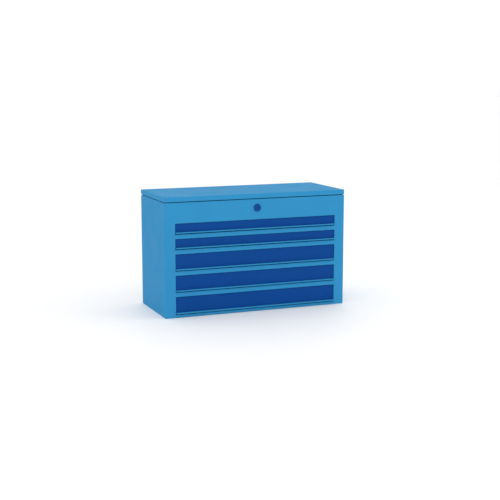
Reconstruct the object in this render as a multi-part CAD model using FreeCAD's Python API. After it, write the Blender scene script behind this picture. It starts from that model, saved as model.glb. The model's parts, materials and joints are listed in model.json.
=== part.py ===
import FreeCAD, Part
import math
import os

# A mini tool chest for small parts. Folded sheet steel makes a casing with five drawers and a
# top compartment under a hinged lid. A cam lock in the front moves a flat bar that holds the
# lid and the drawers shut.
#
# Millimetres. X runs to the right along the front, Y from the front to the back and Z up.
# The origin lies on the surface that the chest stands on, under the middle of its outline.

Vector = FreeCAD.Vector

# Outline
overall_width = 361.569
overall_depth = 153.543  # over the drawer pulls and the back panel
casing_sheet = 0.8
bend_radius = 0.4  # inside every fold

# Front, from the bottom up
bottom_rail_height = 5.6
bottom_window_height = 33.0
deep_window_height = 31.0
shallow_window_height = 19.6
cross_rail_height = 8.6
lock_panel_height = 39.2
lid_height = 9.485
lid_gap = 1.5

# Folded edges of the casing
stile_width = 20.0
stile_return = 6.0
rail_return = 10.0
top_flange_width = 6.0
rear_flange_width = 10.0
floor_flange_height = 8.0
weld_gap = 0.1  # between folded edges that pass each other

# Lid hinge
hinge_inset = 2.2  # of the pin behind which the lid's back turns down
hinge_end_gap = 7.5
hinge_notch_lead = 1.0  # of the corner notches before the pin
hinge_leaf_width = 10.0
hinge_leaf_sheet = 0.8
hinge_barrel_radius = 2.0
hinge_barrel_clearance = 0.2
hinge_pin_radius = 1.0
hinge_pin_clearance = 0.05
hinge_knuckle_count = 31
hinge_knuckle_gap = 0.3
hinge_rivet_count = 8
hinge_rivet_radius = 1.2
hinge_rivet_head_radius = 2.2
hinge_rivet_head_height = 0.8

# Drawers and their runners
drawer_travel = 98.0
tray_sheet = 0.7
tray_lift = 3.8  # of the tray's bottom over the window's lower edge
tray_back_gap = 8.0
runner_sheet = 0.8
runner_width = 8.2
runner_height = 6.8
runner_top_gap = 0.4
runner_play = 0.3
runner_side_play = 0.6
runner_back_overhang = 5.0
runner_panel_flange = 10.0
stop_height = 1.4
stop_ear_length = 3.0
mat_thickness = 1.0
mat_margin = 1.0

# Drawer fronts and pulls
front_sheet = 0.9
front_recess = 1.0
front_gap = 0.6
front_return = 5.0
front_edge_radius = 0.5
pull_projection = 4.0
pull_gap = 1.8  # for a fingertip under the lip
pull_nose_length = 3.2
pull_nose_flat = 0.2  # between the nose's rounded edges
pull_sheet = 0.9
pull_reach = 12.5  # behind the casing's front

# Cam lock
lock_drop = 16.8  # from the lid's joint to the lock's axis
bezel_radius = 7.0
bezel_thickness = 2.0
bezel_edge_radius = 0.7
barrel_radius = 6.0
barrel_length = 10.5  # behind the casing's front
barrel_flats = 10.4
barrel_clearance = 0.1
plug_radius = 4.2
plug_clearance = 0.05
plug_proud = 0.3
keyway_width = 1.3
keyway_height = 5.6
keyway_depth = 8.0
nut_sides = 6
nut_flats = 15.0
nut_thickness = 3.5
nut_clearance = 0.05
cam_thickness = 2.0
cam_clearance = 0.2
cam_hub_radius = 5.2
cam_square = 4.6
cam_nose_radius = 3.4
plug_turn = 90.0  # degrees from unlocked to locked
crank_radius = 7.0
drive_pin_radius = 2.0
drive_pin_clearance = 0.5
cam_screw_radius = 1.5
cam_screw_head_radius = 2.9
cam_screw_head_height = 1.8
cam_screw_length = 6.0
cam_screw_slot = 0.7

# Lock bar, its guides and the lid's catch
bar_sheet = 1.5
bar_clearance = 0.2
bar_gap = 0.8  # behind the cam
bar_height = 10.1
bar_over_pin = 1.0  # of the bar's upper edge over the drive pin's axis
bar_strip_width = 8.0
bar_side_gap = 0.6
tab_length = 8.4
tab_height = 4.9
foot_height = 7.4
foot_lift = 2.0
hook_width = 6.0
hook_reach = 9.0
hook_height = 5.0
hook_offset = 11.0  # from the lock's axis to the hook's upright
hook_top = 10.5  # over the lock's axis
catch_sheet = 1.6
catch_width = 10.0
catch_foot = 14.0
catch_gap = 2.4
catch_clearance = 1.6  # round the hook, on every side
catch_rim = 2.4
stud_positions = (45.0, 135.0)
stud_radius = 3.0
stud_neck_radius = 1.9
stud_head_radius = 3.2
stud_head_height = 1.0
guide_rivet_radius = 1.4
guide_slot_margin = 1.5  # from the foot's left edge to its slot

# Rubber parts and the compartment's mat
lid_bumper_radius = 2.4
lid_bumper_play = 0.2  # under the closed lid
lid_bumper_rounding = 0.8
lid_bumper_inset = 4.0  # behind the casing's front and before the hinge's notches
drawer_bumper_length = 4.2
drawer_bumper_gap = 0.2
floor_mat_thickness = 1.5
floor_mat_margin = 2.0

# How near to a plane an edge lies when it is picked for rounding
pick_distance = 0.01

# Places across the chest
half_width = overall_width / 2
side_inner = half_width - casing_sheet
window_half = half_width - stile_width

# Places from the front to the back
back_face = overall_depth / 2
back_inner = back_face - casing_sheet
casing_front = pull_projection - overall_depth / 2
tray_front = casing_front + front_recess + front_sheet
tray_back = back_face - tray_back_gap
cam_back = casing_front + barrel_length + cam_clearance + cam_thickness
bar_front = cam_back + bar_gap
bar_back = bar_front + bar_sheet
runner_panel_front = bar_back + bar_clearance
runner_front = runner_panel_front + casing_sheet
runner_back = tray_back + runner_back_overhang
runner_panel_back = runner_back + casing_sheet
rim_front = runner_front - bar_clearance
inside_folds = (
    casing_front + casing_sheet + bend_radius,
    back_inner - casing_sheet - bend_radius,
)

# Drawer windows as (lower edge, upper edge), the top drawer first
window_heights = (
    shallow_window_height,
    shallow_window_height,
    deep_window_height,
    deep_window_height,
    bottom_window_height,
)
drawer_windows = []
level = bottom_rail_height
for window_height in reversed(window_heights):
    drawer_windows.insert(0, (level, level + window_height))
    level += window_height + cross_rail_height

# Places from the bottom to the top
lock_panel_bottom = level - cross_rail_height
lid_joint = lock_panel_bottom + lock_panel_height
casing_top = lid_joint - lid_gap / 2
lid_bottom = lid_joint + lid_gap / 2
overall_height = lid_joint + lid_height
floor_bottom = lock_panel_bottom + casing_sheet
floor_top = floor_bottom + casing_sheet
runner_panel_bottom = floor_flange_height + weld_gap
lock_level = lid_joint - lock_drop

# Hinge pin and the flanges that the leaves lie on
pin_place = (back_face - hinge_inset, lid_joint)
leaf_offset = hinge_barrel_radius + hinge_barrel_clearance
casing_flange_top = lid_joint - leaf_offset
lid_flange_bottom = lid_joint + leaf_offset
hinge_half_length = half_width - hinge_end_gap
hinge_front = pin_place[0] - hinge_leaf_width
flange_front = hinge_front - bend_radius
hinge_rivet_line = (hinge_front + pin_place[0] - hinge_barrel_radius) / 2
notch_front = pin_place[0] - hinge_notch_lead

# Lock positions: the drive pin swings evenly to both sides of the line below the plug
crank_lean = math.radians(plug_turn / 2)
crank_shift = crank_radius * math.sin(crank_lean)
crank_drop = crank_radius * math.cos(crank_lean)
bar_travel = 2 * crank_shift
bar_top = lock_level - crank_drop + bar_over_pin
bar_bottom = bar_top - bar_height
bar_right = side_inner - bar_side_gap
tab_tip = bar_right - bar_strip_width - tab_length
foot_bottom = runner_panel_bottom + foot_lift
guide_rivet_x = tab_tip + guide_slot_margin + bar_clearance + guide_rivet_radius

PLACES = {
    "x": lambda u, v, w: Vector(w, u, v),
    "y": lambda u, v, w: Vector(u, w, v),
    "z": lambda u, v, w: Vector(u, v, w),
}
DIRECTIONS = {"x": Vector(1, 0, 0), "y": Vector(0, 1, 0), "z": Vector(0, 0, 1)}


def block(x_range, y_range, z_range):
    """Rectangular solid between three pairs of planes."""
    low = Vector(min(x_range), min(y_range), min(z_range))
    high = Vector(max(x_range), max(y_range), max(z_range))
    size = high - low
    return Part.makeBox(size.x, size.y, size.z, low)


def rod(axis, centre, radius, ends):
    """Round bar along an axis, through a centre given by its other two coordinates."""
    start = PLACES[axis](*centre, min(ends))
    return Part.makeCylinder(radius, abs(ends[1] - ends[0]), start, DIRECTIONS[axis])


def mirrored(shape):
    """The same shape on the other side of the chest."""
    return shape.mirror(Vector(0, 0, 0), Vector(1, 0, 0))


def joined(shapes):
    """One solid from shapes that touch or overlap."""
    return shapes[0].fuse(list(shapes[1:])).removeSplitter()


def without(shape, cutters):
    """A shape with the cutters' volumes taken out."""
    return shape.cut(list(cutters))


def group(shapes):
    """Several separate solids that share one name."""
    return Part.makeCompound(list(shapes))


def parallel_path(points, distance):
    """Open path at a distance to the left of another, with mitred corners."""
    normals = []
    for (u0, v0), (u1, v1) in zip(points, points[1:]):
        run = math.hypot(u1 - u0, v1 - v0)
        normals.append(((v0 - v1) / run, (u1 - u0) / run))
    shifted = []
    for index, (u, v) in enumerate(points):
        before = normals[max(index - 1, 0)]
        after = normals[min(index, len(normals) - 1)]
        mitre = 1 + before[0] * after[0] + before[1] * after[1]
        shift_u = distance * (before[0] + after[0]) / mitre
        shift_v = distance * (before[1] + after[1]) / mitre
        shifted.append((u + shift_u, v + shift_v))
    return shifted


def rounded_edges(points, radii, axis, height):
    """Straight runs along a path, joined by an arc that is tangent to both at each corner."""
    spots = [PLACES[axis](u, v, height) for u, v in points]
    edges = []
    start = spots[0]
    for before, corner, after, radius in zip(spots, spots[1:], spots[2:], radii):
        back = (before - corner).normalize()
        ahead = (after - corner).normalize()
        half_angle = back.getAngle(ahead) / 2
        setback = radius / math.tan(half_angle)
        middle_line = (back + ahead).normalize()
        centre = corner + middle_line * (radius / math.sin(half_angle))
        arc_start = corner + back * setback
        arc_end = corner + ahead * setback
        edges.append(Part.makeLine(start, arc_start))
        edges.append(Part.Arc(arc_start, centre - middle_line * radius, arc_end).toShape())
        start = arc_end
    edges.append(Part.makeLine(start, spots[-1]))
    return edges


def folded_sheet(points, side, axis, ends, thickness):
    """Sheet folded along a path and drawn out along an axis.

    The path is one face of the sheet. The metal is on its left for a side of 1 and on its
    right for a side of -1, looking along the path.
    """
    start = min(ends)
    far_points = parallel_path(points, side * thickness)
    near_radii = []
    far_radii = []
    for (u0, v0), (u1, v1), (u2, v2) in zip(points, points[1:], points[2:]):
        turns_left = (u1 - u0) * (v2 - v1) > (v1 - v0) * (u2 - u1)
        path_is_outside = turns_left == (side > 0)
        near_radii.append(bend_radius + thickness * path_is_outside)
        far_radii.append(bend_radius + thickness * (not path_is_outside))
    near = rounded_edges(points, near_radii, axis, start)
    far = rounded_edges(far_points, far_radii, axis, start)
    caps = []
    for near_end, far_end in ((points[0], far_points[0]), (points[-1], far_points[-1])):
        first = PLACES[axis](*near_end, start)
        second = PLACES[axis](*far_end, start)
        caps.append(Part.makeLine(first, second))
    outline = Part.Wire(Part.__sortEdges__(near + far + caps))
    return Part.Face(outline).extrude(DIRECTIONS[axis] * abs(ends[1] - ends[0]))


def slot_cutter(x_range, z_middle, radius, y_range):
    """Slot with round ends, through a plate that faces the front."""
    left = min(x_range)
    right = max(x_range)
    middle = block((left, right), y_range, (z_middle - radius, z_middle + radius))
    ends = [rod("y", (x, z_middle), radius, y_range) for x in (left, right)]
    return joined([middle] + ends)


def spread(count, half_length):
    """Evenly spaced places along a line, half a space in from its ends."""
    pitch = 2 * half_length / count
    return [-half_length + pitch / 2 + pitch * index for index in range(count)]


def tray_bottom(window):
    return window[0] + tray_lift


def runner_top(window):
    return window[1] - runner_top_gap


def rim_top(window):
    """Upper face of the tray's flanges, which run just under the runner's top."""
    return runner_top(window) - runner_sheet - runner_play


def ledge_top(window):
    """Floor of the runner's channel."""
    return runner_top(window) - runner_height + runner_sheet


def left_side_panel():
    """Side wall with the stile folded round its front edge and a flange round its back."""
    outline = [
        (-window_half, casing_front),
        (-half_width, casing_front),
        (-half_width, back_inner),
        (-half_width + rear_flange_width, back_inner),
    ]
    wall = folded_sheet(outline, -1, "z", (0, casing_top), casing_sheet)
    window_edge = (-window_half, -window_half - casing_sheet)
    return_depth = (casing_front, casing_front + stile_return)
    returns = [block(window_edge, return_depth, window) for window in drawer_windows]
    flange = block(
        (-half_width + casing_sheet / 2, -side_inner + top_flange_width),
        (casing_front + casing_sheet / 2, notch_front),
        (casing_top - casing_sheet, casing_top),
    )
    hinge_notch = block(
        (-half_width, -window_half),
        (notch_front, back_face),
        (casing_flange_top - casing_sheet - bend_radius - weld_gap, casing_top),
    )
    return without(joined([wall, flange] + returns), [hinge_notch])


def back_panel():
    """Back wall, folded forward at the top to carry the hinge."""
    outline = [
        (back_face, 0),
        (back_face, casing_flange_top),
        (flange_front, casing_flange_top),
    ]
    panel = folded_sheet(outline, 1, "x", (-side_inner, side_inner), casing_sheet)
    return without(panel, [hinge_rivet_holes()])


def bottom_panel():
    """Floor of the casing, with the bottom rail folded up at its front and flanges elsewhere."""
    outline = [
        (casing_front + rail_return, bottom_rail_height),
        (casing_front, bottom_rail_height),
        (casing_front, 0),
        (back_inner, 0),
        (back_inner, floor_flange_height),
    ]
    middle = folded_sheet(outline, 1, "x", (-window_half, window_half), casing_sheet)
    wing_outline = [
        (-window_half, 0),
        (-side_inner, 0),
        (-side_inner, floor_flange_height),
    ]
    wing = folded_sheet(wing_outline, -1, "y", inside_folds, casing_sheet)
    return joined([middle, wing, mirrored(wing)])


def front_channel(bottom, top, top_return):
    """Rail across the front between the stiles, folded back along both long edges."""
    outline = [
        (casing_front + top_return, top),
        (casing_front, top),
        (casing_front, bottom),
        (casing_front + rail_return, bottom),
    ]
    return folded_sheet(outline, 1, "x", (-window_half, window_half), casing_sheet)


def lock_panel():
    """Upper front, with a double D hole for the lock's barrel."""
    panel = front_channel(lock_panel_bottom, casing_top, top_flange_width)
    depth = (casing_front - casing_sheet, casing_front + 2 * casing_sheet)
    hole = barrel_section(depth, barrel_clearance)
    return without(panel, [hole])


def compartment_floor():
    """Tray under the lid, turned up along its back and sides, slotted for the lock bar."""
    middle_half = half_width - rear_flange_width - weld_gap
    outline = [
        (inside_folds[0], floor_bottom),
        (back_inner, floor_bottom),
        (back_inner, floor_bottom + floor_flange_height),
    ]
    middle = folded_sheet(outline, 1, "x", (-middle_half, middle_half), casing_sheet)
    wing_outline = [
        (-middle_half, floor_bottom),
        (-side_inner, floor_bottom),
        (-side_inner, floor_bottom + floor_flange_height),
    ]
    wing = folded_sheet(wing_outline, -1, "y", inside_folds, casing_sheet)
    bar_slot = block(
        (bar_right - bar_strip_width - bar_travel - bar_side_gap, side_inner),
        (bar_front - bar_side_gap, bar_back + bar_side_gap),
        (floor_bottom - casing_sheet, floor_bottom + floor_flange_height + casing_sheet),
    )
    return without(joined([middle, wing, mirrored(wing)]), [bar_slot])


def compartment_mat():
    half = side_inner - casing_sheet - floor_mat_margin
    depth = (bar_back + floor_mat_margin, back_inner - casing_sheet - floor_mat_margin)
    return block((-half, half), depth, (floor_top, floor_top + floor_mat_thickness))


def left_runner_panel():
    """Box channel inside the side wall, flush with the windows, that carries the runners."""
    outline = [
        (-side_inner, runner_panel_front + runner_panel_flange),
        (-side_inner, runner_panel_front),
        (-window_half, runner_panel_front),
        (-window_half, runner_panel_back),
        (-side_inner, runner_panel_back),
        (-side_inner, runner_panel_back - runner_panel_flange),
    ]
    height = (runner_panel_bottom, floor_bottom - weld_gap)
    return folded_sheet(outline, 1, "z", height, casing_sheet)


def left_runner(window):
    """Channel with a turned up lip, and a stop tab across its front end."""
    top = runner_top(window)
    bottom = top - runner_height
    lip_top = rim_top(window) - tray_sheet - runner_play
    outline = [
        (-window_half + runner_width - runner_sheet, top),
        (-window_half, top),
        (-window_half, bottom),
        (-window_half + runner_width, bottom),
        (-window_half + runner_width, lip_top),
    ]
    channel = folded_sheet(outline, 1, "y", (runner_front, runner_back), runner_sheet)
    stop = block(
        (-window_half + runner_sheet / 2, -window_half + runner_width - runner_sheet / 2),
        (runner_front, runner_front + runner_sheet),
        (bottom + runner_sheet / 2, ledge_top(window) + stop_height),
    )
    return joined([channel, stop])


def left_drawer_bumper(window):
    """Rubber block in the back end of a runner, where the closed drawer comes to rest."""
    across = (
        -window_half + runner_sheet + runner_play,
        -window_half + runner_width - runner_sheet - runner_play,
    )
    start = tray_back + drawer_bumper_gap
    rim_bottom = rim_top(window) - tray_sheet - runner_play
    return block(across, (start, start + drawer_bumper_length), (ledge_top(window), rim_bottom))


def lid_bumper(side, y):
    """Rubber button on a side panel's top flange."""
    x = side * (side_inner - top_flange_width / 2)
    top = lid_bottom - lid_bumper_play
    button = rod("z", (x, y), lid_bumper_radius, (casing_top, top))
    rim = [edge for edge in button.Edges if edge.BoundBox.ZMin > top - pick_distance]
    return button.makeFillet(lid_bumper_rounding, rim)


def drawer_tray(window):
    """Open tray whose sides turn out and down at the top to hang in the runners."""
    bottom = tray_bottom(window)
    top = rim_top(window)
    half = window_half - runner_width - runner_side_play
    rim_half = window_half - runner_sheet - runner_side_play
    stop_clear = ledge_top(window) + stop_height + runner_play
    outline = [
        (-rim_half, stop_clear),
        (-rim_half, top),
        (-half + tray_sheet, top),
        (-half + tray_sheet, bottom + tray_sheet),
        (half - tray_sheet, bottom + tray_sheet),
        (half - tray_sheet, top),
        (rim_half, top),
        (rim_half, stop_clear),
    ]
    body = folded_sheet(outline, -1, "y", (tray_front, tray_back), tray_sheet)
    rim_cutters = []
    for side in (-1, 1):
        across = (side * half, side * (rim_half + runner_play))
        rim_cutters.append(block(across, (tray_front, rim_front), (bottom, top + runner_play)))
    walls = []
    for wall_front in (tray_front, tray_back - tray_sheet):
        depth = (wall_front, wall_front + tray_sheet)
        walls.append(block((-half, half), depth, (bottom + bend_radius, top)))
    ear_front = runner_front + runner_sheet + drawer_travel + runner_play
    ears = []
    for side in (-1, 1):
        across = (side * rim_half, side * (rim_half - tray_sheet))
        height = (ledge_top(window) + runner_play, top - tray_sheet)
        ears.append(block(across, (ear_front, ear_front + stop_ear_length), height))
    return joined([without(body, rim_cutters)] + walls + ears)


def drawer_front(window):
    """Coloured front, a shallow pan with its top and side edges turned back."""
    half = window_half - front_gap
    bottom = tray_bottom(window)
    top = window[1] - front_gap
    face = casing_front + front_recess
    outer = block((-half, half), (face, face + front_return), (bottom, top))
    front_edges = [edge for edge in outer.Edges if edge.BoundBox.YMax < face + front_edge_radius]
    rounded = outer.makeFillet(front_edge_radius, front_edges)
    inner = block(
        (-half + front_sheet, half - front_sheet),
        (face + front_sheet, face + 2 * front_return),
        (bottom - front_sheet, top - front_sheet),
    )
    return without(rounded, [inner])


def drawer_pull(window):
    """Strip under the tray whose hemmed front edge stands out as a finger lip."""
    half = window_half - front_gap
    top = tray_bottom(window)
    nose_bottom = window[0] + pull_gap
    nose_front = casing_front - pull_projection
    nose = block((-half, half), (nose_front, nose_front + pull_nose_length), (nose_bottom, top))
    nose_radius = (top - nose_bottom - pull_nose_flat) / 2
    long_edges = [
        edge
        for edge in nose.Edges
        if edge.BoundBox.YMax < nose_front + nose_radius and edge.BoundBox.XLength > half
    ]
    rounded = nose.makeFillet(nose_radius, long_edges)
    plate_depth = (nose_front + pull_nose_length / 2, casing_front + pull_reach)
    plate = block((-half, half), plate_depth, (top - pull_sheet, top))
    return joined([rounded, plate])


def drawer_mat(window):
    half = window_half - runner_width - runner_side_play - tray_sheet - mat_margin
    depth = (tray_front + tray_sheet + mat_margin, tray_back - tray_sheet - mat_margin)
    bottom = tray_bottom(window) + tray_sheet
    return block((-half, half), depth, (bottom, bottom + mat_thickness))


def hinge_rivet_places():
    return spread(hinge_rivet_count, hinge_half_length)


def hinge_rivet_holes():
    """Shanks of the hinge's rivets, through both leaves and both flanges."""
    reach = (casing_flange_top - 2 * casing_sheet, lid_flange_bottom + 2 * casing_sheet)
    places = [(x, hinge_rivet_line) for x in hinge_rivet_places()]
    return group(rod("z", place, hinge_rivet_radius, reach) for place in places)


def hinge_leaf(side):
    """Leaf of the long hinge: side -1 lies on the casing's flange, side 1 under the lid's.

    The knuckles take turns along the pin, and each leaf is cut back beside the other's.
    """
    pin_y, pin_z = pin_place
    near = pin_z + side * (leaf_offset - hinge_leaf_sheet)
    far = pin_z + side * leaf_offset
    plate = block((-hinge_half_length, hinge_half_length), (hinge_front, pin_y), (near, far))
    pitch = 2 * hinge_half_length / hinge_knuckle_count
    knuckles = []
    cutters = []
    for index in range(hinge_knuckle_count):
        start = -hinge_half_length + pitch * index
        if index % 2 == (side + 1) // 2:
            ends = (start + hinge_knuckle_gap / 2, start + pitch - hinge_knuckle_gap / 2)
            knuckles.append(rod("x", pin_place, hinge_barrel_radius, ends))
        else:
            across = (start - hinge_knuckle_gap / 2, start + pitch + hinge_knuckle_gap / 2)
            depth = (pin_y - hinge_barrel_radius - hinge_knuckle_gap, pin_y + hinge_inset)
            cutters.append(block(across, depth, (near - hinge_inset, far + hinge_inset)))
    bore_radius = hinge_pin_radius + hinge_pin_clearance * (side > 0)
    bore = rod("x", pin_place, bore_radius, (-half_width, half_width))
    leaf = without(without(plate, cutters).fuse(knuckles), [bore, hinge_rivet_holes()])
    return leaf.removeSplitter()


def hinge_rivets(side):
    """Rivets through one leaf and its flange, with low heads inside the hinge."""
    pin_z = pin_place[1]
    leaf_face = pin_z + side * (leaf_offset - hinge_leaf_sheet)
    flange_face = pin_z + side * (leaf_offset + casing_sheet)
    rivets = []
    tail_radius = (hinge_rivet_radius + hinge_rivet_head_radius) / 2
    for x in hinge_rivet_places():
        place = (x, hinge_rivet_line)
        shank = rod("z", place, hinge_rivet_radius, (leaf_face, flange_face))
        head_ends = (leaf_face - side * hinge_rivet_head_height, leaf_face)
        head = rod("z", place, hinge_rivet_head_radius, head_ends)
        tail_ends = (flange_face, flange_face + side * hinge_rivet_head_height)
        tail = rod("z", place, tail_radius, tail_ends)
        rivets.append(joined([shank, head, tail]))
    return group(rivets)


def hinge_pin():
    return rod("x", pin_place, hinge_pin_radius, (-hinge_half_length, hinge_half_length))


def lid_panel():
    """Shallow pan with a rim, hemmed inwards, that stands flush over the casing."""
    fold = bend_radius + casing_sheet
    outer = block((-half_width, half_width), (casing_front, back_face), (lid_bottom, overall_height))
    upper_edges = [edge for edge in outer.Edges if edge.BoundBox.ZMax > lid_bottom + fold]
    shell = outer.makeFillet(fold, upper_edges)
    inner = block(
        (-side_inner, side_inner),
        (casing_front + casing_sheet, back_inner),
        (lid_bottom - fold, overall_height - casing_sheet),
    )
    inner_edges = [edge for edge in inner.Edges if edge.BoundBox.ZMax > lid_bottom + fold]
    pan = without(shell, [inner.makeFillet(bend_radius, inner_edges)])
    rear_clearance = block(
        (-half_width, half_width),
        (notch_front, back_face),
        (lid_bottom, lid_flange_bottom),
    )
    pan = without(pan, [rear_clearance])

    hem = block(
        (-side_inner - casing_sheet / 2, side_inner + casing_sheet / 2),
        (casing_front + casing_sheet / 2, notch_front),
        (lid_bottom, lid_bottom + casing_sheet),
    )
    hem_opening = block(
        (-side_inner + top_flange_width, side_inner - top_flange_width),
        (casing_front + casing_sheet + top_flange_width, back_face),
        (lid_bottom - casing_sheet, lid_bottom + 2 * casing_sheet),
    )
    rear_outline = [
        (back_face, lid_flange_bottom + 2 * fold),
        (back_face, lid_flange_bottom),
        (flange_front, lid_flange_bottom),
    ]
    rear_corner = block(
        (-half_width, half_width),
        (back_face - fold, back_face),
        (lid_flange_bottom - casing_sheet, lid_flange_bottom + fold),
    )
    rear_flange = folded_sheet(rear_outline, -1, "x", (-side_inner, side_inner), casing_sheet)
    pan = joined([without(pan, [rear_corner]), without(hem, [hem_opening]), rear_flange])
    return without(pan, [hinge_rivet_holes()])


def lid_catch():
    """Bracket under the lid, with a window that the lock bar's hook slides into."""
    hook_tip = -hook_offset - hook_reach
    ear_right = hook_tip - catch_gap
    ear_left = ear_right - catch_sheet
    middle = (bar_front + bar_back) / 2
    depth = (middle - catch_width / 2, middle + catch_width / 2)
    top = overall_height - casing_sheet
    hook_bottom = lock_level + hook_top - hook_height
    bottom = hook_bottom - catch_clearance - catch_rim
    outline = [(ear_left, bottom), (ear_left, top), (ear_left + catch_foot, top)]
    bracket = folded_sheet(outline, -1, "y", depth, catch_sheet)
    window = block(
        (ear_left - catch_sheet, ear_right + catch_sheet),
        (bar_front - catch_clearance, bar_back + catch_clearance),
        (hook_bottom - catch_clearance, lock_level + hook_top + catch_clearance),
    )
    return without(bracket, [window])


def barrel_section(ends, clearance):
    """Round bar with two flats, on the lock's axis."""
    radius = barrel_radius + clearance
    flat = barrel_flats / 2 + clearance
    bar = rod("y", (0, lock_level), radius, ends)
    return bar.common(block((-radius, radius), ends, (lock_level - flat, lock_level + flat)))


def lock_housing():
    """Round bezel on the front, with the flatted barrel behind it."""
    bezel_front = casing_front - bezel_thickness
    bezel = rod("y", (0, lock_level), bezel_radius, (bezel_front, casing_front))
    rim = [edge for edge in bezel.Edges if edge.BoundBox.YMax < bezel_front + pick_distance]
    bezel = bezel.makeFillet(bezel_edge_radius, rim)
    barrel = barrel_section((casing_front, casing_front + barrel_length), 0)
    bore_ends = (bezel_front - bezel_thickness, casing_front + barrel_length + cam_thickness)
    bore = rod("y", (0, lock_level), plug_radius + plug_clearance, bore_ends)
    return without(joined([bezel, barrel]), [bore])


def lock_nut():
    """Hexagon nut that clamps the housing to the lock panel."""
    front = casing_front + casing_sheet
    corner_radius = nut_flats / 2 / math.cos(math.pi / nut_sides)
    corners = []
    for index in range(nut_sides + 1):
        angle = 2 * math.pi * index / nut_sides
        x = corner_radius * math.cos(angle)
        z = lock_level + corner_radius * math.sin(angle)
        corners.append(Vector(x, front, z))
    hexagon = Part.Face(Part.makePolygon(corners)).extrude(Vector(0, nut_thickness, 0))
    bore_ends = (front - nut_thickness, front + 2 * nut_thickness)
    bore = rod("y", (0, lock_level), barrel_radius + nut_clearance, bore_ends)
    return without(hexagon, [bore])


def lock_plug():
    """Turning part of the lock, with a keyway in front and a square tail for the cam."""
    front = casing_front - bezel_thickness - plug_proud
    barrel_end = casing_front + barrel_length
    plug = rod("y", (0, lock_level), plug_radius, (front, barrel_end + cam_clearance))
    half = cam_square / 2
    tail = block((-half, half), (barrel_end, cam_back), (lock_level - half, lock_level + half))
    keyway = block(
        (-keyway_width / 2, keyway_width / 2),
        (front - plug_proud, front + keyway_depth),
        (lock_level - keyway_height / 2, lock_level + keyway_height / 2),
    )
    screw_hole = rod("y", (0, lock_level), cam_screw_radius, (cam_back - cam_screw_length, cam_back))
    return without(joined([plug, tail]), [keyway, screw_hole])


def lock_cam():
    """Crank plate on the plug's tail. It stands as unlocked, with its drive pin low on the right."""
    front = cam_back - cam_thickness
    depth = (front, cam_back)
    pin_x = crank_shift
    pin_z = lock_level - crank_drop
    hub = rod("y", (0, lock_level), cam_hub_radius, depth)
    nose = rod("y", (pin_x, pin_z), cam_nose_radius, depth)
    lean = (cam_hub_radius - cam_nose_radius) / crank_radius
    web = []
    for sign in (1, -1):
        heading = crank_lean - math.pi / 2 + sign * math.acos(lean)
        step = Vector(math.cos(heading), 0, math.sin(heading))
        web.append(Vector(0, front, lock_level) + step * cam_hub_radius)
        web.append(Vector(pin_x, front, pin_z) + step * cam_nose_radius)
    corners = [web[0], web[1], web[3], web[2], web[0]]
    arm = Part.Face(Part.makePolygon(corners)).extrude(Vector(0, cam_thickness, 0))
    half = cam_square / 2
    square_depth = (front - cam_thickness, cam_back + cam_thickness)
    square = block((-half, half), square_depth, (lock_level - half, lock_level + half))
    pin = rod("y", (pin_x, pin_z), drive_pin_radius, (front, bar_back + bar_gap))
    return without(joined([hub, nose, arm, pin]), [square])


def cam_screw():
    """Slotted screw that holds the cam on the plug."""
    shank = rod("y", (0, lock_level), cam_screw_radius, (cam_back - cam_screw_length, cam_back))
    head_end = cam_back + cam_screw_head_height
    head = rod("y", (0, lock_level), cam_screw_head_radius, (cam_back, head_end))
    slot = block(
        (-cam_screw_head_radius, cam_screw_head_radius),
        (head_end - cam_screw_slot, head_end + cam_screw_slot),
        (lock_level - cam_screw_slot / 2, lock_level + cam_screw_slot / 2),
    )
    return without(joined([shank, head]), [slot])


def stud_level():
    return bar_bottom + bar_height / 2


def foot_level():
    return foot_bottom + foot_height / 2


def lock_bar():
    """Flat stamping behind the cam: an arm, a hook for the lid and a strip with drawer tabs."""
    depth = (bar_front, bar_back)
    strip_left = bar_right - bar_strip_width
    arm = block((-hook_offset, bar_right), depth, (bar_bottom, bar_top))
    upright_right = hook_width - hook_offset
    upright = block((-hook_offset, upright_right), depth, (bar_bottom, lock_level + hook_top))
    hook_z = (lock_level + hook_top - hook_height, lock_level + hook_top)
    hook = block((-hook_offset - hook_reach, upright_right), depth, hook_z)
    strip = block((strip_left, bar_right), depth, (foot_bottom, bar_top))
    foot = block((tab_tip, bar_right), depth, (foot_bottom, foot_bottom + foot_height))
    tabs = []
    for window in drawer_windows:
        top = rim_top(window)
        tabs.append(block((tab_tip, bar_right), depth, (top - tab_height, top)))
    plate = joined([arm, upright, hook, strip, foot] + tabs)

    cut_depth = (bar_front - bar_sheet, bar_back + bar_sheet)
    neck = stud_neck_radius + bar_clearance
    cutters = []
    for x in stud_positions:
        cutters.append(slot_cutter((x, x + bar_travel), stud_level(), neck, cut_depth))
    foot_slot = (guide_rivet_x, guide_rivet_x + bar_travel)
    rivet = guide_rivet_radius + bar_clearance
    cutters.append(slot_cutter(foot_slot, foot_level(), rivet, cut_depth))
    drive = drive_pin_radius + drive_pin_clearance
    drive_bottom = lock_level - crank_radius - drive
    drive_x = (crank_shift - drive, crank_shift + drive)
    cutters.append(block(drive_x, cut_depth, (drive_bottom, bar_top + bar_height)))
    return without(plate, cutters)


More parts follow.
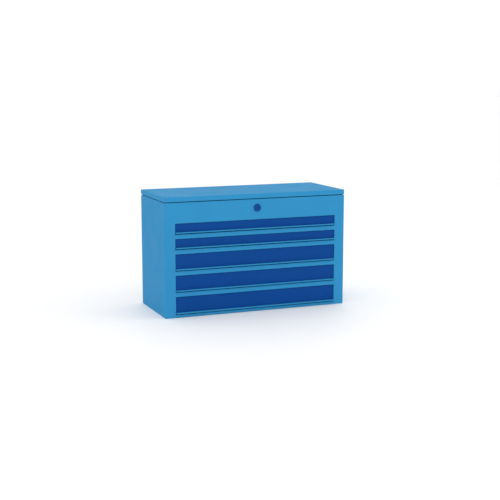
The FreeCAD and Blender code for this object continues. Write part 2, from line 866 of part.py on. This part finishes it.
def lock_bar_guides():
    """Two shouldered studs on the lock panel and a shouldered rivet beside the bottom drawer."""
    guides = []
    neck_ends = (bar_front - bar_clearance, bar_back + bar_clearance)
    for x in stud_positions:
        centre = (x, stud_level())
        post = rod("y", centre, stud_radius, (casing_front + casing_sheet, neck_ends[0]))
        neck = rod("y", centre, stud_neck_radius, neck_ends)
        head_ends = (neck_ends[1], neck_ends[1] + stud_head_height)
        head = rod("y", centre, stud_head_radius, head_ends)
        guides.append(joined([post, neck, head]))
    centre = (guide_rivet_x, foot_level())
    shank = rod("y", centre, guide_rivet_radius, (neck_ends[0], runner_panel_front))
    head_ends = (neck_ends[0] - stud_head_height, neck_ends[0])
    head = rod("y", centre, stud_radius, head_ends)
    guides.append(joined([shank, head]))
    return group(guides)


def build_parts():
    """Every piece of the chest, closed and unlocked, under its own name."""
    side_panel = left_side_panel()
    runner_panel = left_runner_panel()
    parts = {
        "left_side_panel": side_panel,
        "right_side_panel": mirrored(side_panel),
        "back_panel": back_panel(),
        "bottom_panel": bottom_panel(),
        "lock_panel": lock_panel(),
        "compartment_floor": compartment_floor(),
        "compartment_mat": compartment_mat(),
        "left_runner_panel": runner_panel,
        "right_runner_panel": mirrored(runner_panel),
        "hinge_lower_leaf": hinge_leaf(-1),
        "hinge_upper_leaf": hinge_leaf(1),
        "hinge_lower_rivets": hinge_rivets(-1),
        "hinge_upper_rivets": hinge_rivets(1),
        "hinge_pin": hinge_pin(),
        "lid_panel": lid_panel(),
        "lid_catch": lid_catch(),
        "lock_housing": lock_housing(),
        "lock_nut": lock_nut(),
        "lock_plug": lock_plug(),
        "lock_cam": lock_cam(),
        "cam_screw": cam_screw(),
        "lock_bar": lock_bar(),
        "lock_bar_guides": lock_bar_guides(),
    }
    bumper_places = (casing_front + lid_bumper_inset, notch_front - lid_bumper_inset)
    parts["lid_bumpers"] = group(lid_bumper(side, y) for side in (-1, 1) for y in bumper_places)
    for number, (upper, lower) in enumerate(zip(drawer_windows, drawer_windows[1:]), 1):
        parts[f"cross_rail_{number}"] = front_channel(lower[1], upper[0], rail_return)
    bumpers = []
    for number, window in enumerate(drawer_windows, 1):
        runner = left_runner(window)
        bumper = left_drawer_bumper(window)
        bumpers += [bumper, mirrored(bumper)]
        parts[f"left_runner_{number}"] = runner
        parts[f"right_runner_{number}"] = mirrored(runner)
        parts[f"drawer_tray_{number}"] = drawer_tray(window)
        parts[f"drawer_front_{number}"] = drawer_front(window)
        parts[f"drawer_pull_{number}"] = drawer_pull(window)
        parts[f"drawer_mat_{number}"] = drawer_mat(window)
    parts["drawer_bumpers"] = group(bumpers)
    return parts


os.makedirs("parts", exist_ok=True)
chest = build_parts()
outline_box = FreeCAD.BoundBox()
for name, shape in sorted(chest.items()):
    shape.exportStep(f"parts/{name}.step")
    outline_box.add(shape.BoundBox)
    print(f"{name}: {len(shape.Solids)} solids, {shape.Volume:.0f} mm3, valid {shape.isValid()}")
print(f"{len(chest)} pieces, {outline_box}")
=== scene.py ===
# %% [markdown]
# A mini tool chest for small parts
#
# The real chest is folded steel sheet with a light blue powder coat. It has five drawers with
# navy fronts, a top compartment under a hinged lid and a cam lock in the upper front. The
# construction comes from a CAD frame, which also says how each body moves. This lesson gives
# the frame its finishes, and models two kinds of piece again with their finer shapes: the
# ribbed rubber mats and the domed rivets of the hinge.

import json
import math

import bpy
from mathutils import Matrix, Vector


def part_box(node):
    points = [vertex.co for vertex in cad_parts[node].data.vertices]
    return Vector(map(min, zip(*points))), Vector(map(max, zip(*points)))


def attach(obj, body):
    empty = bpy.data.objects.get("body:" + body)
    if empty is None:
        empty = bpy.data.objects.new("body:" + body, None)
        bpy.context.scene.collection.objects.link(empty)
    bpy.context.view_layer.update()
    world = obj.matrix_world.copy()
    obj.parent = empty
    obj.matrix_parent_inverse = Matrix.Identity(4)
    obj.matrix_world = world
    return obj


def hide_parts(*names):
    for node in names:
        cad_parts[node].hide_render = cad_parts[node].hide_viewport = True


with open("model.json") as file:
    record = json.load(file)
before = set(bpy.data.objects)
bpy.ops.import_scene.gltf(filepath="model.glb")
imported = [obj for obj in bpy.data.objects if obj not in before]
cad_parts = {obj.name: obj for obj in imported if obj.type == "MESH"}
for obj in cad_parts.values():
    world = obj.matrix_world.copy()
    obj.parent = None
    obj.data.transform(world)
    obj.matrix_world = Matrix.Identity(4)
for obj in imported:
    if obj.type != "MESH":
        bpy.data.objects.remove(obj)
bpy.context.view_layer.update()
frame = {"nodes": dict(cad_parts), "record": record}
nodes = frame["nodes"]

# %% [markdown]
# Small helpers for material nodes
#
# Every finish here is made of nodes that read Object coordinates in metres, so a scale of 800
# gives spots of about a millimetre. The pieces of the frame all have their origin in one
# place, so a pattern runs on across a seam between two sheets, as one coat of paint does.

# %% Node helpers
def add_node(tree, kind, inputs=None, **settings):
    """Adds a node, sets its settings, and fills its inputs with values or links."""
    node = tree.nodes.new(kind)
    for name, value in settings.items():
        setattr(node, name, value)
    for name, value in (inputs or {}).items():
        if isinstance(value, bpy.types.NodeSocket):
            tree.links.new(value, node.inputs[name])
        else:
            node.inputs[name].default_value = value
    return node


def start_material(name):
    """A material with its shader, and the place on the object that the patterns read."""
    material = bpy.data.materials.new(name)
    material.use_nodes = True
    tree = material.node_tree
    place = add_node(tree, "ShaderNodeTexCoord").outputs["Object"]
    return material, tree, tree.nodes["Principled BSDF"], place


def noise(tree, place, scale, detail=2.0, roughness=0.5):
    spots = {"Vector": place, "Scale": scale, "Detail": detail, "Roughness": roughness}
    return add_node(tree, "ShaderNodeTexNoise", spots).outputs["Fac"]


def spread(tree, value, low, high, to_low=0.0, to_high=1.0):
    """Maps a range of a value to another range, and cuts off what lies outside."""
    ends = {
        "Value": value,
        "From Min": low,
        "From Max": high,
        "To Min": to_low,
        "To Max": to_high,
    }
    return add_node(tree, "ShaderNodeMapRange", ends, clamp=True).outputs["Result"]


def product(tree, first, second):
    ends = {0: first, 1: second}
    return add_node(tree, "ShaderNodeMath", ends, operation="MULTIPLY").outputs["Value"]


def colour_mix(tree, share, first, second):
    """Blends two colours. Inputs 6 and 7 are the colour sockets of the Mix node."""
    mixer = add_node(tree, "ShaderNodeMix", {0: share}, data_type="RGBA")
    for index, colour in ((6, first), (7, second)):
        if isinstance(colour, bpy.types.NodeSocket):
            tree.links.new(colour, mixer.inputs[index])
        else:
            mixer.inputs[index].default_value = (*colour, 1.0)
    return mixer.outputs[2]


def tinted(colour, amount):
    """A colour made lighter by an amount above 1, or darker by one below."""
    return tuple(min(1.0, part * amount) for part in colour)


print("helpers for patterns and colours ready")

# %% [markdown]
# Relief, and edges for wear and painted highlights
#
# Two more helpers are about form. A Bump node turns a pattern of heights into a tilt of the
# surface, so the light breaks on it without any more faces. A Bevel node gives the normal that
# a rounded edge would have. Where that normal leans away from the flat one, an edge is near,
# and the cosine between the two says how near. Paint and enamel wear first in such places, and
# there the powder coats also get a painted highlight.

# %% Helpers for relief and edges
FLAT_COSINE = 0.995
EDGE_COSINE = 0.88
EDGE_SAMPLES = 6


def bumped(tree, height, distance, strength=1.0, normal=None):
    """Normal of a surface raised by a height pattern, up to a distance in metres."""
    inputs = {"Height": height, "Distance": distance, "Strength": strength}
    if normal is not None:
        inputs["Normal"] = normal
    return add_node(tree, "ShaderNodeBump", inputs).outputs["Normal"]


def near_edges(tree, reach):
    """1 within about a reach of a fold or cut edge, and 0 on the flat."""
    bevel = add_node(tree, "ShaderNodeBevel", {"Radius": reach}, samples=EDGE_SAMPLES)
    flat = add_node(tree, "ShaderNodeNewGeometry").outputs["Normal"]
    ends = {0: bevel.outputs["Normal"], 1: flat}
    lean = add_node(tree, "ShaderNodeVectorMath", ends, operation="DOT_PRODUCT")
    return spread(tree, lean.outputs["Value"], FLAT_COSINE, EDGE_COSINE)


print("helpers for relief and edges ready")

# %% [markdown]
# Powder coat
#
# The casing, lid, trays and pull lips have one baked coat. Close up it isn't flat. The film
# flows into a fine orange peel about a millimetre across, with a speckle where the grains of
# powder melted, and it is a little thicker in some places than in others. Hands polish it
# along the folds, where it also gets thin, and tools leave a few hair scratches. Along the
# folds the colour is lighter, partly for that wear and partly as a painted highlight. The node
# tree makes these one by one: a slow noise and a fast one for the colour, a Bevel node that
# finds the edges, a long stretched noise for the scratches, and two noises for the bump. The
# navy coat of the fronts is the same recipe in another colour, and a little smoother.

# %% Powder coat
BLUE = (0.029, 0.255, 0.508)
NAVY = (0.0008, 0.0555, 0.256)
PEEL_HEIGHT = 0.0001
SPECKLE_HEIGHT = 0.000015
FOLD_REACH = 0.0009  # how far from a fold the coat is lighter, as wear and as a painted highlight
SCRATCH_TURN = (0.5, 0.7, 0.4)
SCRATCH_STRETCH = (26.0, 5200.0, 5200.0)  # lines a few centimetres long and a hair across
COAT_GLOSS = 0.08


def scratches(tree, place):
    """1 along a few long hair lines, in patches that hands and tools touch, and 0 elsewhere."""
    slanted = {"Vector": place, "Rotation": SCRATCH_TURN, "Scale": SCRATCH_STRETCH}
    turned = add_node(tree, "ShaderNodeMapping", slanted).outputs["Vector"]
    lines = spread(tree, noise(tree, turned, 1.0, detail=0.0), 0.74, 0.78)
    touched = spread(tree, noise(tree, place, 17.0, detail=2.0), 0.52, 0.62)
    return product(tree, lines, touched)


def powder_coat(name, colour, roughness, wear_and_highlight_lift):
    """Baked coat. Its edges, with wear and a painted highlight, and its scratches are lighter
    than the colour by the lift.
    """
    material, tree, shader, place = start_material(name)
    film = noise(tree, place, 11.0, detail=3.0)
    body = colour_mix(tree, film, tinted(colour, 0.93), tinted(colour, 1.07))
    speckle = spread(tree, noise(tree, place, 1500.0, detail=1.0), 0.35, 0.65)
    body = colour_mix(tree, product(tree, speckle, 0.12), body, tinted(colour, 0.55))
    patches = noise(tree, place, 160.0, detail=4.0, roughness=0.65)
    chance = spread(tree, patches, 0.42, 0.68, 0.2, 0.8)
    # Along the folds the coat is painted lighter: partly wear, partly a painted highlight.
    lighter_edges = product(tree, near_edges(tree, FOLD_REACH), chance)
    coat = colour_mix(tree, lighter_edges, body, tinted(colour, wear_and_highlight_lift))
    marks = scratches(tree, place)
    coat = colour_mix(tree, product(tree, marks, 0.35), coat, tinted(colour, wear_and_highlight_lift))
    tree.links.new(coat, shader.inputs["Base Color"])

    peel = noise(tree, place, 850.0, detail=1.5)
    handled = noise(tree, place, 24.0, detail=5.0, roughness=0.6)
    dull = spread(tree, handled, 0.3, 0.7, roughness - 0.07, roughness + 0.08)
    tree.links.new(dull, shader.inputs["Roughness"])
    skin = bumped(tree, peel, PEEL_HEIGHT, 0.8)
    tree.links.new(bumped(tree, speckle, SPECKLE_HEIGHT, 0.6, skin), shader.inputs["Normal"])
    shader.inputs["Specular IOR Level"].default_value = COAT_GLOSS
    return material


# The lift lightens the scratches and paints the folds lighter, as wear and as a painted
# highlight.
blue_coat = powder_coat("light_blue_powder_coat", BLUE, roughness=0.64, wear_and_highlight_lift=1.5)
navy_coat = powder_coat("navy_powder_coat", NAVY, roughness=0.5, wear_and_highlight_lift=2.2)
print("powder coats:", blue_coat.name, navy_coat.name)

# %% [markdown]
# Zinc plated steel
#
# Runners, hinge, lock bar and lock cam are bright zinc plated. Rolled sheet keeps fine lines
# along its length, so the noise is stretched more than a hundredfold along one axis. Zinc
# also shows faint warm and cold clouds from the passivating bath. The rivets get a slightly
# darker shade, as small pieces that are plated in a barrel come out duller than sheet.

# %% Zinc plate
COLD_ZINC = (0.60, 0.62, 0.66)
WARM_ZINC = (0.66, 0.645, 0.60)
ROLLED_ZINC = (0.44, 0.45, 0.47)
LINE_DEPTH = 0.000012
STREAKS = {
    "X": (22.0, 2600.0, 2600.0),
    "Y": (2600.0, 22.0, 2600.0),
    "Z": (2600.0, 2600.0, 22.0),
}


def stretched(tree, place, scale):
    """The same place with each axis scaled by its own amount, for streaks."""
    inputs = {"Vector": place, "Scale": scale}
    return add_node(tree, "ShaderNodeMapping", inputs).outputs["Vector"]


def zinc_plate(name, along, shade=1.0):
    material, tree, shader, place = start_material(name)
    clouds = noise(tree, place, 46.0, detail=4.0)
    bath = spread(tree, clouds, 0.3, 0.7)
    plate = colour_mix(tree, bath, tinted(COLD_ZINC, shade), tinted(WARM_ZINC, shade))
    lines = noise(tree, stretched(tree, place, STREAKS[along]), 1.0, detail=2.0)
    rolled = colour_mix(tree, spread(tree, lines, 0.35, 0.65, 0.0, 0.35), plate, ROLLED_ZINC)
    tree.links.new(rolled, shader.inputs["Base Color"])
    tree.links.new(spread(tree, lines, 0.25, 0.75, 0.27, 0.44), shader.inputs["Roughness"])
    tree.links.new(bumped(tree, lines, LINE_DEPTH, 0.6), shader.inputs["Normal"])
    shader.inputs["Metallic"].default_value = 1.0
    return material


zinc_runner = zinc_plate("zinc_plate_runners", "Y")
zinc_hinge = zinc_plate("zinc_plate_hinge", "X")
zinc_bar = zinc_plate("zinc_plate_lock_bar", "Z")
zinc_rivet = zinc_plate("zinc_plate_rivets", "Z", shade=0.8)
print("zinc finishes:", zinc_runner.name, zinc_hinge.name, zinc_bar.name, zinc_rivet.name)

# %% [markdown]
# Lock enamel
#
# The lock's bezel and the face of its plug are smooth navy enamel, shinier than the coat on
# the sheets, with hair lines round the keyhole from the key. Behind the panel the same two
# castings are bare zinc, as the enamel is only sprayed on from the front. So one material has
# both finishes, and the place along the lock's axis chooses between them.

# %% Lock enamel
ENAMEL_GLOSS = 0.13
ENAMEL_REACH = 0.0006  # how far from an edge the enamel is worn
SPRAY_EDGE = 0.0004  # over which the enamel fades out behind the panel's face
DARK_CASTING = (0.50, 0.50, 0.49)
LIGHT_CASTING = (0.62, 0.61, 0.58)
HAIR_LINES = {"Scale": 240.0, "Distortion": 2.2, "Detail": 2.0}
HAIR_DEPTH = 0.000004
plug_low, plug_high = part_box("lock_plug")
lock_axis_height = (plug_low.z + plug_high.z) / 2
panel_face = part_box("lock_panel")[0].y


def lock_enamel(name):
    material, tree, shader, place = start_material(name)
    centre = {"Vector": place, "Location": (0.0, 0.0, -lock_axis_height)}
    on_axis = add_node(tree, "ShaderNodeMapping", centre).outputs["Vector"]
    circles = {"Vector": on_axis, **HAIR_LINES}
    settings = {"wave_type": "RINGS", "rings_direction": "Y"}
    rings = add_node(tree, "ShaderNodeTexWave", circles, **settings).outputs["Fac"]
    shade = colour_mix(tree, noise(tree, place, 90.0), tinted(NAVY, 0.9), tinted(NAVY, 1.12))
    lighter_edges = product(tree, near_edges(tree, ENAMEL_REACH), noise(tree, place, 500.0))
    enamel = colour_mix(tree, lighter_edges, shade, tinted(NAVY, 1.5))
    depth = add_node(tree, "ShaderNodeSeparateXYZ", {"Vector": place}).outputs["Y"]
    bare = spread(tree, depth, panel_face, panel_face + SPRAY_EDGE)
    cast_skin = noise(tree, place, 300.0, detail=3.0)
    casting = colour_mix(tree, cast_skin, DARK_CASTING, LIGHT_CASTING)
    tree.links.new(colour_mix(tree, bare, enamel, casting), shader.inputs["Base Color"])
    tree.links.new(bare, shader.inputs["Metallic"])
    tree.links.new(spread(tree, rings, 0.0, 1.0, 0.3, 0.4), shader.inputs["Roughness"])
    tree.links.new(bumped(tree, rings, HAIR_DEPTH, 0.5), shader.inputs["Normal"])
    shader.inputs["Specular IOR Level"].default_value = ENAMEL_GLOSS
    return material


lock_finish = lock_enamel("navy_lock_enamel")
print("lock finish:", lock_finish.name, "with enamel back to y =", round(panel_face, 4), "m")

# %% [markdown]
# Rubber
#
# Mats and bumpers are black rubber. It has almost no gloss, a fine tooth and a little grey
# dust where the noise is high.

# %% Rubber
MAT_BLACK = (0.022, 0.022, 0.024)
BUMPER_BLACK = (0.016, 0.016, 0.016)
TOOTH_HEIGHT = 0.00006
RUBBER_GLOSS = 0.3


def rubber(name, colour, tooth):
    material, tree, shader, place = start_material(name)
    clouds = noise(tree, place, 90.0, detail=6.0, roughness=0.75)
    dust = spread(tree, clouds, 0.44, 0.76, 0.0, 0.4)
    skin = colour_mix(tree, dust, colour, tinted(colour, 2.6))
    tree.links.new(skin, shader.inputs["Base Color"])
    fine = noise(tree, place, tooth, detail=3.0)
    tree.links.new(spread(tree, fine, 0.3, 0.7, 0.72, 0.9), shader.inputs["Roughness"])
    tree.links.new(bumped(tree, fine, TOOTH_HEIGHT, 0.7), shader.inputs["Normal"])
    shader.inputs["Specular IOR Level"].default_value = RUBBER_GLOSS
    return material


mat_rubber = rubber("ribbed_mat_rubber", MAT_BLACK, tooth=1800.0)
bumper_rubber = rubber("bumper_rubber", BUMPER_BLACK, tooth=1200.0)
print("rubber:", mat_rubber.name, bumper_rubber.name)

# %% [markdown]
# Which node gets which finish
#
# The record of the frame names a material slot for each node. Zinc is split by the way that
# the steel was rolled.

# %% Give the nodes their finishes
SLOT_FINISH = {
    "blue_paint": blue_coat,
    "navy_paint": navy_coat,
    "lock_finish": lock_finish,
    "zinc_steel": zinc_hinge,
    "mat_foam": mat_rubber,
    "black_rubber": bumper_rubber,
}


def finish_of(node, slot):
    if "_runner_" in node and slot == "zinc_steel":
        return zinc_runner
    if node in ("lock_bar", "lock_cam"):
        return zinc_bar
    return SLOT_FINISH[slot]


for subpart in frame["record"]["subparts"]:
    name, slot = subpart["node"], subpart["material_slot"]
    piece = nodes[name]
    piece.data.materials.clear()
    piece.data.materials.append(finish_of(name, slot))

# %% [markdown]
# Helpers for modelling
#
# An operator works on whatever is selected, as it does under the mouse. So each step here
# first deselects everything and then picks what it wants by place. A finished piece keeps its
# place in its mesh, with doubled points merged, its faces turned outwards, and smooth shading
# up to the angle where an edge is meant to be seen.

# %% Modelling helpers
NEAR = 0.00001  # less than this counts as the same height or the same seam
MERGE_REACH = 0.000001
SMOOTH_UP_TO = math.radians(35)


def only(piece):
    """Selects one object and nothing else."""
    bpy.ops.object.select_all(action="DESELECT")
    piece.select_set(True)
    bpy.context.view_layer.objects.active = piece


def pick(piece, kind, wanted):
    """Selects the vertices, edges or faces that a test accepts, and stays in edit mode."""
    bpy.ops.object.mode_set(mode="EDIT")
    bpy.ops.mesh.select_mode(type=kind)
    bpy.ops.mesh.select_all(action="DESELECT")
    bpy.ops.object.mode_set(mode="OBJECT")
    mesh = piece.data
    for element in {"VERT": mesh.vertices, "EDGE": mesh.edges, "FACE": mesh.polygons}[kind]:
        element.select = wanted(element)
    bpy.ops.object.mode_set(mode="EDIT")


def settle(piece, name, finish):
    """Puts a finished piece's place in its mesh, and gives it its name and finish."""
    only(piece)
    bpy.ops.object.transform_apply(location=True, rotation=True, scale=True)
    bpy.ops.object.mode_set(mode="EDIT")
    bpy.ops.mesh.select_all(action="SELECT")
    bpy.ops.mesh.remove_doubles(threshold=MERGE_REACH)
    bpy.ops.mesh.normals_make_consistent(inside=False)
    bpy.ops.object.mode_set(mode="OBJECT")
    bpy.ops.object.shade_smooth_by_angle(angle=SMOOTH_UP_TO)
    piece.name = name
    piece.data.name = name
    piece.data.materials.clear()
    piece.data.materials.append(finish)
    return piece


def array_of(piece, count, step):
    """Repeats a piece along a step, with the seams merged."""
    only(piece)
    repeat = piece.modifiers.new("repeat", "ARRAY")
    repeat.count = count
    repeat.use_relative_offset = False
    repeat.use_constant_offset = True
    repeat.constant_offset_displace = step
    repeat.use_merge_vertices = True
    repeat.merge_threshold = NEAR
    bpy.ops.object.modifier_apply(modifier="repeat")


print("modelling helpers ready")

# %% [markdown]
# Ribbed mats
#
# A mat in a drawer is rubber drawn through a die, with a web and narrow ribs, so that small
# parts don't slide. It is modelled the way the die works. One pitch of the sheet is three
# strips, of which the middle one is widened and extruded up as a rib, with its two upper edges
# rounded. An array repeats the pitch over the depth of the mat, its open rim is pulled down by
# the thickness of the web, and the underside is closed with one face.

# %% Model the ribbed mats
RIB_PITCH = 0.004
RIB_SHARE = 0.4  # of the mat's thickness that stands up as ribs
RIB_WIDTH = 1.35  # of a rib, in thirds of the pitch
RIB_EDGE = 0.00015


def ribbed_mat(node, body):
    low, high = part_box(node)
    size = high - low
    count = round(size.y / RIB_PITCH)
    pitch = size.y / count
    rib = size.z * RIB_SHARE
    web = size.z - rib
    start = ((low.x + high.x) / 2, low.y + pitch / 2, low.z + web)
    bpy.ops.object.select_all(action="DESELECT")
    bpy.ops.mesh.primitive_grid_add(x_subdivisions=1, y_subdivisions=3, size=1.0, location=start)
    mat = bpy.context.object
    bpy.ops.object.mode_set(mode="EDIT")
    bpy.ops.transform.resize(value=(size.x, pitch, 1.0))

    pick(mat, "FACE", lambda face: abs(face.center.y) < pitch / 6)
    bpy.ops.transform.resize(value=(1.0, RIB_WIDTH, 1.0))
    bpy.ops.mesh.extrude_region_move(TRANSFORM_OT_translate={"value": (0.0, 0.0, rib)})
    bpy.ops.object.mode_set(mode="OBJECT")
    corners = [vertex.co.copy() for vertex in mat.data.vertices]

    def upper_and_long(edge):
        first, second = (corners[index] for index in edge.vertices)
        return min(first.z, second.z) > rib / 2 and abs(first.x - second.x) > size.x / 2

    pick(mat, "EDGE", upper_and_long)
    bpy.ops.mesh.bevel(offset=RIB_EDGE, segments=3, affect="EDGES")
    bpy.ops.object.mode_set(mode="OBJECT")
    array_of(mat, count, (0.0, pitch, 0.0))

    bpy.ops.object.mode_set(mode="EDIT")
    bpy.ops.mesh.select_mode(type="EDGE")
    bpy.ops.mesh.select_all(action="DESELECT")
    bpy.ops.mesh.select_non_manifold()
    bpy.ops.mesh.extrude_region_move(TRANSFORM_OT_translate={"value": (0.0, 0.0, -web)})
    bpy.ops.mesh.edge_face_add()
    bpy.ops.object.mode_set(mode="OBJECT")
    settle(mat, node + "_ribbed", mat_rubber)
    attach(mat, body)
    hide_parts(node)
    return mat


mats = [ribbed_mat("compartment_mat", "casing")]
for number in range(1, 6):
    mats.append(ribbed_mat(f"drawer_mat_{number}", f"drawer_{number}"))
print("mats with", [len(mat.data.polygons) for mat in mats], "faces")

# %% [markdown]
# Hinge rivets
#
# The rivets of the long hinge have low domed heads, pressed by a snap tool. A head is the upper
# half of a sphere, squashed to a low dome. The same dome, smaller and turned over, is the
# formed tail on the far side of the flange, and a short shank joins the two. The heads lie
# inside the closed hinge, on top of the lower leaf and under the upper one. One rivet is
# modelled at the left end of the hinge and repeated along it.

# %% Model the hinge rivets
RIVET_COUNT = 8
RIVET_HEAD = 0.0022  # radius
RIVET_TAIL = 0.0017  # radius
RIVET_SHANK = 0.0012  # radius
RIVET_RISE = 0.0008  # of a head or tail
ROUND_SIDES = 28
DOME_RINGS = 12


def dome(place, radius, rise):
    """Low dome that stands on a place, upwards or, for a rise below 0, downwards."""
    bpy.ops.object.select_all(action="DESELECT")
    bpy.ops.mesh.primitive_uv_sphere_add(
        segments=ROUND_SIDES, ring_count=DOME_RINGS, radius=radius, location=place
    )
    cap = bpy.context.object
    pick(cap, "VERT", lambda vertex: vertex.co.z < -NEAR)
    bpy.ops.mesh.delete(type="VERT")
    bpy.ops.mesh.select_all(action="SELECT")
    bpy.ops.transform.resize(value=(1.0, 1.0, rise / radius), center_override=place)
    bpy.ops.mesh.select_all(action="DESELECT")
    bpy.ops.mesh.select_non_manifold()
    bpy.ops.mesh.edge_face_add()
    bpy.ops.object.mode_set(mode="OBJECT")
    return cap


def hinge_rivets(node, body, side):
    """Row of rivets with the tails down (side -1) or up (side 1) and the heads opposite."""
    low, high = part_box(node)
    y = (low.y + high.y) / 2
    head_foot, tail_foot = low.z + RIVET_RISE, high.z - RIVET_RISE
    if side < 0:
        head_foot, tail_foot = tail_foot, head_foot
    x = low.x + RIVET_HEAD
    head = dome((x, y, head_foot), RIVET_HEAD, -side * RIVET_RISE)
    tail = dome((x, y, tail_foot), RIVET_TAIL, side * RIVET_RISE)
    bpy.ops.object.select_all(action="DESELECT")
    bpy.ops.mesh.primitive_cylinder_add(
        vertices=ROUND_SIDES,
        radius=RIVET_SHANK,
        depth=abs(tail_foot - head_foot),
        location=(x, y, (head_foot + tail_foot) / 2),
    )
    shank = bpy.context.object
    only(shank)
    head.select_set(True)
    tail.select_set(True)
    bpy.ops.object.join()
    bpy.ops.object.transform_apply(location=True, rotation=True, scale=True)
    spacing = (high.x - low.x - 2 * RIVET_HEAD) / (RIVET_COUNT - 1)
    array_of(shank, RIVET_COUNT, (spacing, 0.0, 0.0))
    row = settle(shank, node + "_domed", zinc_rivet)
    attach(row, body)
    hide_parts(node)
    return row


rows = [
    hinge_rivets("hinge_lower_rivets", "casing", -1),
    hinge_rivets("hinge_upper_rivets", "lid", 1),
]
print("rivets with", [len(row.data.polygons) for row in rows], "faces")

# %% [markdown]
# Camera
#
# The camera stands front left, a little above the lid, at the drawing's angle of view. Its
# place, turn and lens come from the corners of the chest in the drawing.

# %% Camera
CAMERA_PLACE = Vector((-0.7518, -1.8975, 0.4468))
CAMERA_TURN = math.radians(22.0)
CAMERA_DIP = math.radians(9.5)
LENS = 76.9
NEAREST = 0.01

bpy.ops.object.camera_add(location=CAMERA_PLACE)
camera = bpy.context.object
camera.name = "camera"
ahead = Vector((
    math.sin(CAMERA_TURN) * math.cos(CAMERA_DIP),
    math.cos(CAMERA_TURN) * math.cos(CAMERA_DIP),
    -math.sin(CAMERA_DIP),
))
camera.rotation_mode = "QUATERNION"
camera.rotation_quaternion = ahead.to_track_quat("-Z", "Y")
camera.data.lens = LENS
camera.data.clip_start = NEAREST
bpy.context.scene.camera = camera
print("camera", [round(part, 3) for part in camera.location], "lens", LENS)

# %% [markdown]
# Floor and light
#
# A plain white floor runs to the horizon, and the sky is the same white, so that the chest
# stands on a plain ground with one soft shadow. The sky gives most of the light. A large soft
# lamp in front keeps the fronts as bright as they are in the drawing, and a smaller one on
# the right shades the side a little, so that the corner reads.

# %% Floor and light
FLOOR_HALF = 20.0
FLOOR_GAP = 0.0002  # under the chest, whose bottom would otherwise share its plane
FLOOR_TONES = ((0.92, 0.92, 0.92), (0.94, 0.94, 0.94))
SKY = (1.0, 1.0, 1.0)
SKY_STRENGTH = 1.07
AIM = Vector((0.0, 0.0, 0.1))  # the middle of the chest, about


def soft_lamp(name, place, width, power):
    """Round lamp that shines on the chest."""
    bpy.ops.object.light_add(type="AREA", location=place)
    lamp = bpy.context.object
    lamp.name = name
    lamp.data.shape = "DISK"
    lamp.data.size = width
    lamp.data.energy = power
    lamp.rotation_mode = "QUATERNION"
    lamp.rotation_quaternion = (AIM - Vector(place)).to_track_quat("-Z", "Y")
    return lamp


bpy.ops.object.select_all(action="DESELECT")
bpy.ops.mesh.primitive_plane_add(size=2 * FLOOR_HALF, location=(0.0, 0.0, -FLOOR_GAP))
floor = bpy.context.object
floor.name = "floor"
floor_paint, floor_tree, floor_shader, floor_place = start_material("pale_floor")
floor_clouds = noise(floor_tree, floor_place, 6.0, detail=3.0)
floor_tone = colour_mix(floor_tree, floor_clouds, *FLOOR_TONES)
floor_tree.links.new(floor_tone, floor_shader.inputs["Base Color"])
floor_shader.inputs["Roughness"].default_value = 0.6
floor.data.materials.append(floor_paint)

world = bpy.data.worlds.new("studio")
bpy.context.scene.world = world
world.use_nodes = True
sky = world.node_tree.nodes["Background"]
sky.inputs["Color"].default_value = (*SKY, 1.0)
sky.inputs["Strength"].default_value = SKY_STRENGTH
soft_lamp("front_lamp", (-0.9, -2.2, 1.7), width=1.8, power=8.0)
soft_lamp("right_lamp", (2.0, -0.9, 1.5), width=1.4, power=5.0)
bpy.context.scene.view_settings.view_transform = "Standard"
